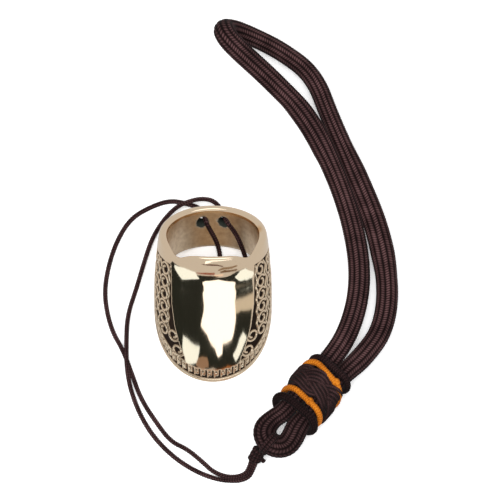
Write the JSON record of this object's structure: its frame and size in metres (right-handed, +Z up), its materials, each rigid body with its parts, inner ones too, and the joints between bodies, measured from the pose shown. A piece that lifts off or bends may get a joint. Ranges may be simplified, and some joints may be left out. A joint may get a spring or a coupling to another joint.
{
  "type": "archer's thumb ring with lace and braided wrist cord",
  "caption": "Cast brass archer's thumb ring with a sloping tongue, raised ornament, a thin lace and a braided wrist cord.",
  "frame": {"origin": "middle of the ring's footprint on the table, without the cords", "axes": "+Z up; the ring's tongue points along -Y; +X to the right seen with the tongue towards the viewer"},
  "size_m": [0.0717, 0.114, 0.0248],
  "materials": {
    "brass": "mirror polished face and rim, antiqued recesses",
    "brown_cord": "braided and knitted polyester, slight sheen",
    "orange_cord": "braided polyester, slight sheen"
  },
  "bodies": {
    "root": {"thumb_ring": "brass", "lace": "brown_cord", "hitch_knot": "brown_cord", "wrist_cord": "brown_cord", "upper_collar": "brown_cord", "upper_accent_ring": "orange_cord", "braided_sleeve": "brown_cord", "lower_accent_ring": "orange_cord", "lower_collar": "brown_cord"}
  },
  "joints": []
}
